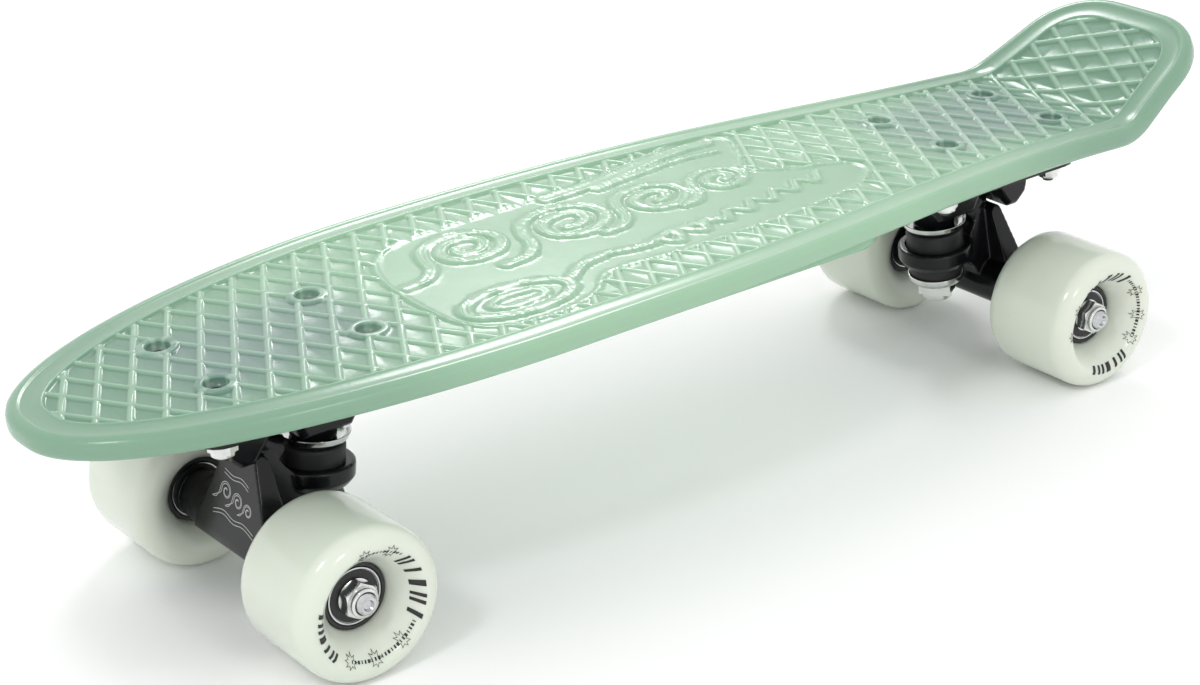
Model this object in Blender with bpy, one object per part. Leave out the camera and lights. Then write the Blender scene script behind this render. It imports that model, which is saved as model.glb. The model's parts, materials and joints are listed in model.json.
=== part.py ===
# A 22 inch moulded plastic cruiser skateboard: deck, two trucks, four wheels and their fasteners.
# Metres, +Z up. The wheels stand on z = 0, the nose points to -X and the tail kick to +X.
from math import acos, cos, pi, radians, sin, sqrt, tau

import bmesh
import bpy
from mathutils import Matrix, Vector

# ---------------------------------------------------------------- driving dimensions
CLEARANCE = 0.0003

DECK_CURVE_LENGTH = 0.5757      # along the deck's middle line, from the nose tip to the tail tip
NOSE_TIP_X = -0.28468
DECK_HALF_WIDTH = 0.0743
NOSE_LENGTH = 0.186             # from the tip to the widest part
RIM_RADIUS = 0.0045
RIM_MID_HEIGHT = 0.1034         # middle of the rounded rim, at the highest part of the deck
FIELD_DROP = 0.0012             # how far the standing surface lies below the rim's crest
RIM_BAND = 0.013
LEVEL_X = -0.015                # middle of the level stretch of the deck
LEVEL_HALF_LENGTH = 0.040
ARCH_RATE = 0.138               # how fast the deck falls towards both ends, per metre
KICK_X = 0.2158
KICK_BEND_RADIUS = 0.030
KICK_SLOPE = radians(27.5)
WAIST_START, WAIST_END, WAIST_HALF_WIDTH = 0.215, 0.500, 0.0534
TAIL_START, TAIL_HALF_WIDTH = 0.540, 0.0466
BELLY_X = (-0.104, 0.075)
BELLY_DEPTH = 0.007
BELLY_EASE = 0.014

WHEEL_RADIUS = 0.030
WHEEL_WIDTH = 0.045
WHEEL_OFFSET = 0.0564           # from the board's middle to a wheel's middle
TYRE_FACETS = 32
CORE_RADIUS = 0.0128
BEARING_RADIUS, BEARING_BORE, BEARING_WIDTH = 0.011, 0.00435, 0.007
BEARING_SPAN = 0.024            # over both bearings of a wheel
BEARING_SHIFT = -0.0021         # the bearings sit nearer to the wheel's inner face
AXLE_RADIUS = 0.00397
AXLE_LENGTH = 0.1508

FRONT_TRUCK_X, REAR_TRUCK_X = -0.186, 0.170
HOLE_X, HOLE_Y = 0.03175, 0.02065
PAD_HEIGHT = 0.0888             # underside of the deck's truck pads
BASE_TOP, BASE_BOTTOM = 0.0885, 0.082
BLOCK_HALF_WIDTH = 0.0142
BOLT_RADIUS, BOLT_HOLE_RADIUS = 0.0024, 0.0029
BOLT_SEAT = 0.0976

# A truck is laid out with x running outboard from the middle of its four bolts.
AXLE_X, AXLE_Z = 0.0098, WHEEL_RADIUS
SEAT = Vector((-0.0162, 0.0, 0.0468))       # middle of the hanger's bushing seat
PIVOT = Vector((0.0170, 0.0, 0.0735))       # tip of the hanger's nose, in the pivot cup
KINGPIN_LEAN = radians(5.5)                 # the kingpin's lower end leans outboard
KINGPIN_RADIUS = 0.0047
PIVOT_FACE = 0.0345                         # mouth of the pivot bore, along the steering axis
STEER = (PIVOT - SEAT).normalized()

# ---------------------------------------------------------------- colours
MINT = (0.45, 0.70, 0.52, 1.0)
BLACK_PAINT = (0.012, 0.012, 0.014, 1.0)
BLACK_URETHANE = (0.02, 0.02, 0.022, 1.0)
BLACK_PLASTIC = (0.015, 0.015, 0.016, 1.0)
MILK_WHITE = (0.78, 0.80, 0.72, 1.0)
ZINC = (0.62, 0.63, 0.62, 1.0)
STEEL = (0.55, 0.56, 0.58, 1.0)


def clear_scene():
    for obj in list(bpy.data.objects):
        bpy.data.objects.remove(obj, do_unlink=True)


def finish(name, bm, colour, roughness, metallic):
    """Turn a bmesh into a named, smooth-shaded object with its own material."""
    bmesh.ops.remove_doubles(bm, verts=bm.verts, dist=1e-6)
    bmesh.ops.recalc_face_normals(bm, faces=bm.faces)
    mesh = bpy.data.meshes.new(name)
    bm.to_mesh(mesh)
    bm.free()
    mesh.shade_smooth()
    mesh.set_sharp_from_angle(angle=radians(35))
    obj = bpy.data.objects.new(name, mesh)
    bpy.context.scene.collection.objects.link(obj)
    if colour:
        material = bpy.data.materials.new(name)
        material.use_nodes = True
        shader = material.node_tree.nodes["Principled BSDF"]
        shader.inputs["Base Color"].default_value = colour
        shader.inputs["Roughness"].default_value = roughness
        shader.inputs["Metallic"].default_value = metallic
        mesh.materials.append(material)
    return obj


def boolean(obj, tool, operation):
    tool.hide_render = True
    tool.display_type = 'WIRE'
    modifier = obj.modifiers.new(operation.lower(), 'BOOLEAN')
    modifier.operation = operation
    modifier.solver = 'EXACT'
    modifier.object = tool


def turned(bm, profile, segments, closed, flat_first=False):
    """Spin (radius, height) points about Z; flat_first puts a facet, not an edge, at +X."""
    start = pi / segments if flat_first else 0.0
    verts = [bm.verts.new((r * cos(start), r * sin(start), h)) for r, h in profile]
    pairs = list(zip(verts, verts[1:]))
    if closed:
        pairs.append((verts[-1], verts[0]))
    edges = [bm.edges.new(pair) for pair in pairs]
    bmesh.ops.spin(bm, geom=verts + edges, cent=(0, 0, 0), axis=(0, 0, 1),
                   angle=tau, steps=segments, use_merge=True)
    bmesh.ops.remove_doubles(bm, verts=bm.verts, dist=1e-6)


def rod(bm, radius, low, high, segments=24, chamfer=0.0):
    turned(bm, [(0, low), (radius - chamfer, low), (radius, low + chamfer),
                (radius, high - chamfer), (radius - chamfer, high), (0, high)], segments, False)


def prism(bm, outline, low, high):
    """Extrude an (x, y) outline from z = low to z = high."""
    face = bm.faces.new([bm.verts.new((x, y, low)) for x, y in outline])
    moved = bmesh.ops.extrude_face_region(bm, geom=[face])["geom"]
    bmesh.ops.translate(bm, vec=(0, 0, high - low),
                        verts=[v for v in moved if isinstance(v, bmesh.types.BMVert)])


def side_prism(bm, outline, half_width):
    """Extrude an (x, z) outline across the board, from -half_width to half_width."""
    face = bm.faces.new([bm.verts.new((x, -half_width, z)) for x, z in outline])
    moved = bmesh.ops.extrude_face_region(bm, geom=[face])["geom"]
    bmesh.ops.translate(bm, vec=(0, 2 * half_width, 0),
                        verts=[v for v in moved if isinstance(v, bmesh.types.BMVert)])


def hexagon(across_flats, turn=0.0):
    reach = across_flats / 2 / cos(pi / 6)
    return [(reach * cos(turn + i * pi / 3), reach * sin(turn + i * pi / 3)) for i in range(6)]


def rounded_rectangle(half_x, half_y, radius, corner_steps=4):
    points = []
    for quarter, (sx, sy) in enumerate(((1, 1), (-1, 1), (-1, -1), (1, -1))):
        for step in range(corner_steps + 1):
            angle = quarter * pi / 2 + step * pi / 2 / corner_steps
            points.append((sx * (half_x - radius) + radius * cos(angle),
                           sy * (half_y - radius) + radius * sin(angle)))
    return points


# ---------------------------------------------------------------- deck
def half_width_at(s):
    """Half the deck's width at s along its middle line."""
    width = DECK_HALF_WIDTH
    if s < NOSE_LENGTH:
        width *= (1 - ((NOSE_LENGTH - s) / NOSE_LENGTH) ** 1.8) ** 0.45
    if s > WAIST_START:
        t = min(1.0, (s - WAIST_START) / (WAIST_END - WAIST_START)) ** 1.15
        width -= (DECK_HALF_WIDTH - WAIST_HALF_WIDTH) * (1 - cos(pi * t)) / 2
    if s > WAIST_END:
        t = min(1.0, (s - WAIST_END) / (TAIL_START - WAIST_END))
        width -= (WAIST_HALF_WIDTH - TAIL_HALF_WIDTH) * t
    if s > TAIL_START:
        t = (s - TAIL_START) / (DECK_CURVE_LENGTH - TAIL_START)
        width *= (1 - t * t) ** 0.336
    return width


def arch_height(x):
    """Height of the rim's middle on the riding part of the deck."""
    beyond = max(0.0, abs(x - LEVEL_X) - LEVEL_HALF_LENGTH)
    return RIM_MID_HEIGHT - ARCH_RATE * beyond * beyond


def middle_line(s):
    """The (x, z) point at s along the rim's middle line, and its slope there."""
    x = NOSE_TIP_X + s
    step = 0.001
    if x <= KICK_X:
        return x, arch_height(x), (arch_height(x + step) - arch_height(x)) / step
    start_slope = (arch_height(KICK_X) - arch_height(KICK_X - step)) / step
    bend_length = KICK_BEND_RADIUS * (KICK_SLOPE - start_slope)
    along = x - KICK_X
    bent = min(along, bend_length)
    slope = start_slope + bent / KICK_BEND_RADIUS
    x = KICK_X + KICK_BEND_RADIUS * (sin(slope) - sin(start_slope))
    z = arch_height(KICK_X) + KICK_BEND_RADIUS * (cos(start_slope) - cos(slope))
    straight = along - bent
    return x + straight * cos(slope), z + straight * sin(slope), slope


def ease(t):
    t = max(0.0, min(1.0, t))
    return t * t * (3 - 2 * t)


def belly_depth(x):
    rise = ease((x - BELLY_X[0]) / BELLY_EASE)
    fall = ease((BELLY_X[1] - x) / BELLY_EASE)
    return BELLY_DEPTH * rise * fall


def deck_section(s):
    """Right half of the deck's cross-section at s, as (y, height above the rim's middle)."""
    width = half_width_at(s)
    end_distance = min(s, DECK_CURVE_LENGTH - s) / RIM_RADIUS
    full = sqrt(1 - (1 - end_distance) ** 2) if end_distance < 1 else 1.0
    radius = min(RIM_RADIUS, width * 0.5)
    height = RIM_RADIUS * full
    field = max(width * 0.6, width - RIM_BAND)
    field_height = height - FIELD_DROP * full
    belly = belly_depth(middle_line(s)[0])
    points = [(0, field_height), (field, field_height),
              (max(width * 0.75, width - RIM_BAND + 0.004), height)]
    for angle in (72, 36, 0, -42, -90):
        turn = radians(angle)
        points.append((width - radius + radius * cos(turn), height * sin(turn)))
    under = max(width * 0.5, width - 0.009)
    step = max(width * 0.4, width - 0.013)
    points += [(under, -height), (step, -height - belly), (0, -height - belly)]
    return points


def deck_stations():
    """Distances along the deck, close together where its outline or profile turns."""
    ends = [0.0006, 0.0018, 0.0034]
    nose = [NOSE_LENGTH * (1 - cos(pi / 2 * i / 13)) for i in range(3, 13)]
    belly = []
    for edge, side in ((BELLY_X[0], 1), (BELLY_X[1], -1)):
        belly += [edge - NOSE_TIP_X + side * BELLY_EASE * k / 2 for k in range(3)]
    level = [LEVEL_X + side * LEVEL_HALF_LENGTH - NOSE_TIP_X for side in (-1, 1)]
    riding = [0.210, 0.300, 0.385, 0.412, 0.440, 0.465, 0.485]
    bend = [KICK_X - NOSE_TIP_X + 0.0155 * k / 4 for k in range(5)]
    tail_span = DECK_CURVE_LENGTH - TAIL_START
    tail = [TAIL_START - 0.012] + [TAIL_START + tail_span * sin(pi / 2 * i / 10) for i in range(8)]
    tail += [DECK_CURVE_LENGTH - s for s in ends]
    stations = sorted(ends + nose + belly + level + riding + bend + tail)
    return [s for s, after in zip(stations, stations[1:] + [1.0]) if after - s > 0.0008]


def deck_top(x):
    """Height of the standing surface at x on the riding part."""
    return arch_height(x) + RIM_RADIUS - FIELD_DROP


def make_deck():
    bm = bmesh.new()
    rings = []
    for s in deck_stations():
        x, z, slope = middle_line(s)
        half = deck_section(s)
        ring = half + [(-y, h) for y, h in reversed(half[1:-1])]
        rings.append([bm.verts.new((x - h * sin(slope), y, z + h * cos(slope))) for y, h in ring])
    for here, there in zip(rings, rings[1:]):
        count = len(here)
        for i in range(count):
            j = (i + 1) % count
            bm.faces.new((here[i], here[j], there[j], there[i]))
    bm.faces.new(rings[0])
    bm.faces.new(reversed(rings[-1]))
    bmesh.ops.triangulate(bm, faces=bm.faces)
    deck = finish("deck", bm, MINT, 0.35, 0.0)

    pads = bmesh.new()
    for truck_x in (FRONT_TRUCK_X, REAR_TRUCK_X):
        pad = bmesh.new()
        prism(pad, rounded_rectangle(0.046, 0.033, 0.010), PAD_HEIGHT, RIM_MID_HEIGHT - 0.0044)
        pad.transform(Matrix.Translation((truck_x, 0, 0)))
        for x, y in bolt_places(truck_x):
            ring = bmesh.new()
            rod(ring, 0.0076, deck_top(x) - 0.002, deck_top(x) + 0.0008, 14)
            ring.transform(Matrix.Translation((x, y, 0)))
            append(pad, ring)
        append(pads, pad)
    boolean(deck, finish("deck_pads_and_rings", pads, None, 0, 0), 'UNION')

    holes = bmesh.new()
    for truck_x in (FRONT_TRUCK_X, REAR_TRUCK_X):
        for x, y in bolt_places(truck_x):
            hole = bmesh.new()
            low, high = PAD_HEIGHT - 0.005, RIM_MID_HEIGHT + 0.010
            head = 0.0046
            turned(hole, [(0, low), (BOLT_HOLE_RADIUS, low), (BOLT_HOLE_RADIUS, BOLT_SEAT),
                          (head, BOLT_SEAT), (head, high), (0, high)], 14, False)
            hole.transform(Matrix.Translation((x, y, 0)))
            append(holes, hole)
    boolean(deck, finish("deck_holes", holes, None, 0, 0), 'DIFFERENCE')
    return deck


def append(target, source):
    """Move one bmesh's faces into another."""
    mesh = bpy.data.meshes.new("piece")
    source.to_mesh(mesh)
    source.free()
    target.from_mesh(mesh)
    bpy.data.meshes.remove(mesh)


def bolt_places(truck_x):
    return [(truck_x + sx * HOLE_X, sy * HOLE_Y) for sx in (-1, 1) for sy in (-1, 1)]


# ---------------------------------------------------------------- mounting hardware
def make_bolt(name):
    bm = bmesh.new()
    seat, top, bottom = BOLT_SEAT + CLEARANCE, BOLT_SEAT + 0.0030, 0.0740
    turned(bm, [(0, bottom), (BOLT_RADIUS, bottom), (BOLT_RADIUS, seat), (0.0041, seat),
                (0.0041, top - 0.0008), (0.0033, top), (0, top)], 12, False)
    return finish(name, bm, ZINC, 0.3, 1.0)


def make_nut(name, across_flats, bore, low, high, collar_radius, colour=ZINC):
    """A lock nut on the Z axis: a hexagon with a round collar below it and a plain bore."""
    collar = low + (high - low) * 0.3
    bm = bmesh.new()
    prism(bm, hexagon(across_flats), collar, high)
    nut = finish(name, bm, colour, 0.3, 1.0)
    ring = bmesh.new()
    rod(ring, collar_radius, low, collar + 0.0010, 12)
    boolean(nut, finish(name + "_collar", ring, None, 0, 0), 'UNION')
    cutter = bmesh.new()
    rod(cutter, bore, low - 0.002, high + 0.002, 12)
    boolean(nut, finish(name + "_bore", cutter, None, 0, 0), 'DIFFERENCE')
    return nut


# ---------------------------------------------------------------- truck
def along_kingpin(bm):
    """Take a bmesh built about Z, with z = 0 at the bushing seat, onto the leaning kingpin."""
    bm.transform(Matrix.Translation(SEAT) @ Matrix.Rotation(-KINGPIN_LEAN, 4, 'Y'))


def along_steering(bm):
    """Take a bmesh built about Z, with z = 0 at the bushing seat, onto the steering axis."""
    lean = acos(STEER.z)
    bm.transform(Matrix.Translation(SEAT) @ Matrix.Rotation(lean, 4, 'Y'))


def cutter_from(name, bm, place=None):
    if place:
        place(bm)
    return finish(name, bm, None, 0, 0)


def make_baseplate(prefix):
    bm = bmesh.new()
    prism(bm, rounded_rectangle(0.042, 0.030, 0.009), BASE_BOTTOM, BASE_TOP)
    base = finish(prefix + "baseplate", bm, BLACK_PAINT, 0.4, 0.0)

    # The block below the flange: kingpin boss inboard, slanted pivot housing outboard.
    face_middle = SEAT + STEER * PIVOT_FACE
    across = Vector((STEER.z, 0, -STEER.x))
    mouth_top, mouth_low = face_middle - across * 0.0095, face_middle + across * 0.0068
    block = bmesh.new()
    side_prism(block, [(-0.0305, 0.084), (-0.0295, 0.070), (-0.027, 0.066), (-0.006, 0.066),
                       (-0.0015, 0.0758), (mouth_top.x, mouth_top.z), (mouth_low.x, mouth_low.z),
                       (0.0205, mouth_low.z), (0.0243, 0.0665), (0.0275, 0.084)],
               BLOCK_HALF_WIDTH)
    edges = [e for e in block.edges
             if abs(abs(e.verts[0].co.y) - BLOCK_HALF_WIDTH) < 1e-6
             and abs(e.verts[0].co.y - e.verts[1].co.y) < 1e-6
             and min(v.co.z for v in e.verts) < BASE_BOTTOM and max(v.co.z for v in e.verts) < 0.080]
    bmesh.ops.bevel(block, geom=edges, offset=0.0018, segments=1, profile=0.5, affect='EDGES',
                    material=-1)
    boolean(base, cutter_from(prefix + "base_block", block), 'UNION')
    boss = bmesh.new()
    rod(boss, 0.009, 0.0136, 0.030, 24)
    boolean(base, cutter_from(prefix + "base_boss", boss, along_kingpin), 'UNION')

    cuts = bmesh.new()
    for x, y in bolt_places(0.0):
        hole = bmesh.new()
        rod(hole, BOLT_HOLE_RADIUS, BASE_BOTTOM - 0.003, BASE_TOP + 0.003, 16)
        hole.transform(Matrix.Translation((x, y, 0)))
        append(cuts, hole)
    boolean(base, cutter_from(prefix + "base_bolt_holes", cuts), 'DIFFERENCE')
    # The kingpin's hole opens into a round recess for its head.
    hole, recess = KINGPIN_RADIUS + 0.0004, 0.0088
    pin_hole = bmesh.new()
    turned(pin_hole, [(0, 0.005), (hole, 0.005), (hole, 0.0350), (recess, 0.0350),
                      (recess, 0.050), (0, 0.050)], 24, False)
    boolean(base, cutter_from(prefix + "base_kingpin_hole", pin_hole, along_kingpin), 'DIFFERENCE')
    bore = bmesh.new()
    rod(bore, 0.0062, PIVOT_FACE - 0.004, PIVOT_FACE + 0.010, 24)
    boolean(base, cutter_from(prefix + "base_pivot_bore", bore, along_steering), 'DIFFERENCE')
    return base


def make_pivot_cup(prefix):
    mouth, end = PIVOT_FACE, PIVOT_FACE + 0.010 - CLEARANCE
    bm = bmesh.new()
    turned(bm, [(0, end), (0.0058, end), (0.0058, mouth), (0.0050, mouth),
                (0.0050, end - 0.0014), (0, end - 0.0014)], 24, False)
    along_steering(bm)
    return finish(prefix + "pivot_cup", bm, BLACK_URETHANE, 0.6, 0.0)


def make_kingpin(prefix):
    bm = bmesh.new()
    prism(bm, hexagon(0.0143), 0.0353, 0.0404)
    along_kingpin(bm)
    kingpin = finish(prefix + "kingpin", bm, ZINC, 0.3, 1.0)
    shank = bmesh.new()
    rod(shank, KINGPIN_RADIUS, -0.0227, 0.0370, 20)
    boolean(kingpin, cutter_from(prefix + "kingpin_shank", shank, along_kingpin), 'UNION')
    return kingpin


def make_kingpin_ring(name, profile, colour, roughness, metallic):
    bm = bmesh.new()
    turned(bm, profile, 24, True)
    along_kingpin(bm)
    return finish(name, bm, colour, roughness, metallic)


def make_washers_and_bushings(prefix):
    bore = 0.0052
    # Dished washer under the baseplate's boss, its rim turned up.
    top_washer = make_kingpin_ring(prefix + "top_washer", [
        (bore, 0.0117), (0.0112, 0.0117), (0.0132, 0.0131), (0.0144, 0.0160),
        (0.0139, 0.0162), (0.0126, 0.0140), (0.0108, 0.0133), (bore, 0.0133)], ZINC, 0.3, 1.0)
    upper = make_kingpin_ring(prefix + "top_bushing", [
        (bore, 0.0018), (0.0119, 0.0018), (0.0124, 0.0040), (0.0124, 0.0092),
        (0.0120, 0.0114), (bore, 0.0114)], BLACK_URETHANE, 0.5, 0.0)
    lower = make_kingpin_ring(prefix + "bottom_bushing", [
        (bore, -0.0120), (0.0104, -0.0120), (0.0115, -0.0092), (0.0117, -0.0050),
        (0.0112, -0.0018), (bore, -0.0018)], BLACK_URETHANE, 0.5, 0.0)
    # Cup washer over the lower end of the lower bushing.
    bottom_washer = make_kingpin_ring(prefix + "bottom_washer", [
        (bore, -0.0137), (0.0106, -0.0137), (0.0120, -0.0122), (0.0124, -0.0096),
        (0.0119, -0.0095), (0.0113, -0.0115), (0.0104, -0.0123), (bore, -0.0123)],
        ZINC, 0.3, 1.0)
    return [top_washer, upper, lower, bottom_washer]


def make_kingpin_nut(prefix):
    nut = make_nut(prefix + "kingpin_nut", 0.0143, KINGPIN_RADIUS + 0.0004, -0.0222, -0.0140, 0.0066)
    seat_place = Matrix.Translation(SEAT) @ Matrix.Rotation(-KINGPIN_LEAN, 4, 'Y')
    for modifier in nut.modifiers:
        modifier.object.data.transform(seat_place)
    nut.data.transform(seat_place)
    return nut


def make_hanger(prefix):
    # Axle housing, turned about the axle.
    housing = bmesh.new()
    half = 0.041
    turned(housing, [(0, -half), (0.0082, -half), (0.0098, -half + 0.0018), (0.0104, -0.030),
                     (0.0104, 0.030), (0.0098, half - 0.0018), (0.0082, half), (0, half)], 24, False)
    housing.transform(Matrix.Translation((AXLE_X, 0, AXLE_Z)) @ Matrix.Rotation(pi / 2, 4, 'X'))
    hanger = finish(prefix + "hanger", housing, BLACK_PAINT, 0.4, 0.0)

    # Yoke: a sloping outboard plate that narrows from the housing up to the pivot nose.
    yoke = bmesh.new()
    side_prism(yoke, [(0.0122, 0.0632), (0.0182, 0.0275), (0.0165, 0.0220), (0.0098, 0.0194),
                      (0.0045, 0.0205), (-0.0020, 0.0424), (-0.0105, 0.0428), (-0.0105, 0.0500),
                      (-0.0030, 0.0512), (0.0008, 0.0575), (0.0040, 0.0640)], 0.0235)
    low, high = Vector((0, 0.0240, 0.0345)), Vector((0, 0.0092, 0.0640))
    for side in (-1, 1):
        run = high - low
        normal = Vector((0, run.z * side, -run.y)).normalized()
        cut = bmesh.ops.bisect_plane(yoke, geom=yoke.verts[:] + yoke.edges[:] + yoke.faces[:],
                                     plane_co=(0, side * low.y, low.z), plane_no=normal,
                                     clear_outer=True, dist=1e-7)
        rim = [e for e in cut["geom_cut"] if isinstance(e, bmesh.types.BMEdge)]
        bmesh.ops.edgeloop_fill(yoke, edges=rim)
    boolean(hanger, cutter_from(prefix + "hanger_yoke", yoke), 'UNION')

    ring = bmesh.new()
    turned(ring, [(0, -0.0046), (0.0142, -0.0046), (0.0162, -0.0022), (0.0162, 0.0036),
                  (0.0156, 0.0042), (0, 0.0042)], 28, False)
    boolean(hanger, cutter_from(prefix + "hanger_ring", ring, along_kingpin), 'UNION')
    nose = bmesh.new()
    tip = PIVOT_FACE + 0.0078
    turned(nose, [(0, 0.0230), (0.0062, 0.0230), (0.0058, 0.0300), (0.0045, 0.0325),
                  (0.0045, tip - 0.0022), (0.0028, tip), (0, tip)], 24, False)
    boolean(hanger, cutter_from(prefix + "hanger_nose", nose, along_steering), 'UNION')

    seats = bmesh.new()
    turned(seats, [(0, -0.0300), (0.0133, -0.0300), (0.0124, -0.0050), (0.0124, -0.0015),
                   (0.0075, -0.0015),
                   (0.0075, 0.0015), (0.0131, 0.0015), (0.0131, 0.0090), (0, 0.0090)], 24, False)
    boolean(hanger, cutter_from(prefix + "hanger_seats", seats, along_kingpin), 'DIFFERENCE')
    bore = bmesh.new()
    rod(bore, AXLE_RADIUS + 0.0004, -0.050, 0.050, 20)
    bore.transform(Matrix.Translation((AXLE_X, 0, AXLE_Z)) @ Matrix.Rotation(pi / 2, 4, 'X'))
    boolean(hanger, cutter_from(prefix + "hanger_axle_bore", bore), 'DIFFERENCE')
    return hanger


def make_axle(prefix):
    bm = bmesh.new()
    rod(bm, AXLE_RADIUS, -AXLE_LENGTH / 2, AXLE_LENGTH / 2, 20, 0.0007)
    bm.transform(Matrix.Translation((AXLE_X, 0, AXLE_Z)) @ Matrix.Rotation(pi / 2, 4, 'X'))
    return finish(prefix + "axle", bm, STEEL, 0.3, 1.0)


def make_truck(prefix, truck_x, turn):
    """All the fixed and steering pieces of one truck, under an empty at its middle."""
    truck = bpy.data.objects.new(prefix + "truck_frame", None)
    truck.location = (truck_x, 0, 0)
    truck.rotation_euler = (0, 0, turn)
    steering = bpy.data.objects.new(prefix + "steering_axis", None)
    steering.location = SEAT
    steering.parent = truck
    for empty in (truck, steering):
        bpy.context.scene.collection.objects.link(empty)
    fixed = [make_baseplate(prefix), make_pivot_cup(prefix), make_kingpin(prefix),
             make_kingpin_nut(prefix)] + make_washers_and_bushings(prefix)
    swinging = [make_hanger(prefix), make_axle(prefix)]
    for obj in fixed:
        parent_with_tools(obj, truck, Vector())
    for obj in swinging:
        parent_with_tools(obj, steering, SEAT)


def parent_with_tools(obj, parent, offset):
    """Parent an object and its boolean tools; offset takes their meshes to the parent's origin."""
    pieces = [obj] + [m.object for m in obj.modifiers]
    for piece in pieces:
        piece.data.transform(Matrix.Translation(-offset))
        piece.parent = parent


# ---------------------------------------------------------------- wheels
def make_tyre(name):
    """Urethane tyre about Z, its outer face towards +Z, with a facet under it to roll on."""
    tread = WHEEL_RADIUS / cos(pi / TYRE_FACETS)
    face, lip = WHEEL_WIDTH / 2, 0.0070
    bore = CORE_RADIUS + CLEARANCE
    outer_seat = BEARING_SHIFT + BEARING_SPAN / 2
    inner_seat = BEARING_SHIFT - BEARING_SPAN / 2
    profile = [(bore, outer_seat), (0.0150, outer_seat + 0.0022), (0.0182, 0.0190),
               (0.0230, face)]
    for angle in (68, 34):
        turn = radians(angle)
        profile.append((tread - lip + lip * cos(turn), face - lip + lip * sin(turn)))
    profile += [(tread, face - lip), (tread, lip - face)]
    for angle in (34, 68):
        turn = radians(angle)
        profile.append((tread - lip + lip * cos(turn), lip - face - lip * sin(turn)))
    profile += [(0.0225, -face), (0.0175, -0.0205), (bore, inner_seat)]
    bm = bmesh.new()
    turned(bm, profile, TYRE_FACETS, True, flat_first=True)
    return finish(name, bm, MILK_WHITE, 0.35, 0.0)


def make_core(name):
    end = BEARING_SPAN / 2
    seat, web = BEARING_RADIUS + 0.0004, 0.0085
    shoulder = end - BEARING_WIDTH - CLEARANCE
    bm = bmesh.new()
    turned(bm, [(seat, end), (CORE_RADIUS, end), (CORE_RADIUS, -end), (seat, -end),
                (seat, -shoulder), (web, -shoulder), (web, shoulder), (seat, shoulder)], 24, True)
    bm.transform(Matrix.Translation((0, 0, BEARING_SHIFT)))
    return finish(name, bm, BLACK_PLASTIC, 0.45, 0.0)


def make_bearing(name, side):
    """A shielded 608 ball bearing: side is 1 for the outer one and -1 for the inner one."""
    half, inset = BEARING_WIDTH / 2, 0.0005
    bm = bmesh.new()
    turned(bm, [(BEARING_BORE, half), (0.0062, half), (0.0080, half - inset),
                (0.0097, half), (BEARING_RADIUS, half), (BEARING_RADIUS, -half),
                (BEARING_BORE, -half)], 20, True)
    if side < 0:
        bmesh.ops.rotate(bm, verts=bm.verts, cent=(0, 0, 0), matrix=Matrix.Rotation(pi, 3, 'X'))
    middle = BEARING_SHIFT + side * (BEARING_SPAN / 2 - half)
    bm.transform(Matrix.Translation((0, 0, middle)))
    return finish(name, bm, STEEL, 0.3, 1.0)


def make_axle_nut(name):
    low = BEARING_SHIFT + BEARING_SPAN / 2 + CLEARANCE
    nut = make_nut(name, 0.0127, AXLE_RADIUS + 0.0004, -0.0078, 0.0, 0.0058)
    for piece in [nut] + [m.object for m in nut.modifiers]:
        piece.data.transform(Matrix.Translation((0, 0, low)) @ Matrix.Rotation(pi, 4, 'X'))
    return nut


def make_wheel(prefix, axle_x, side):
    """One wheel's pieces; side is -1 on the left of the board and 1 on the right."""
    spin = bpy.data.objects.new(prefix + "spin_axis", None)
    spin.location = (axle_x, side * WHEEL_OFFSET, AXLE_Z)
    spin.rotation_euler = (-side * pi / 2, 0, 0)
    bpy.context.scene.collection.objects.link(spin)
    pieces = [make_tyre(prefix + "tyre"), make_core(prefix + "core"),
              make_bearing(prefix + "outer_bearing", 1), make_bearing(prefix + "inner_bearing", -1),
              make_axle_nut(prefix + "axle_nut")]
    for piece in pieces:
        parent_with_tools(piece, spin, Vector())


# ---------------------------------------------------------------- assembly
def main():
    clear_scene()
    make_deck()
    trucks = (("front_", FRONT_TRUCK_X, pi), ("rear_", REAR_TRUCK_X, 0.0))
    for prefix, truck_x, turn in trucks:
        make_truck(prefix, truck_x, turn)
        outboard = 1 if turn == 0.0 else -1
        corners = (("inboard_left", -1, -1), ("inboard_right", -1, 1),
                   ("outboard_left", 1, -1), ("outboard_right", 1, 1))
        for corner, along, across in corners:
            place = (truck_x + outboard * along * HOLE_X, across * HOLE_Y, 0)
            bolt = make_bolt(prefix + "mounting_bolt_" + corner)
            nut = make_nut(prefix + "mounting_nut_" + corner, 0.0095, BOLT_RADIUS + 0.0003,
                           0.0755, BASE_BOTTOM - CLEARANCE, 0.0044)
            for piece in [bolt, nut] + [m.object for m in nut.modifiers]:
                piece.location = place
        for side_name, side in (("left", -1), ("right", 1)):
            make_wheel(prefix + side_name + "_wheel_", truck_x + outboard * AXLE_X, side)


main()
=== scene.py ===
import json
from math import acos, cos, pi, radians, sin, sqrt, tau

import bmesh
import bpy
import numpy as np
from mathutils import Matrix, Vector

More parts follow.
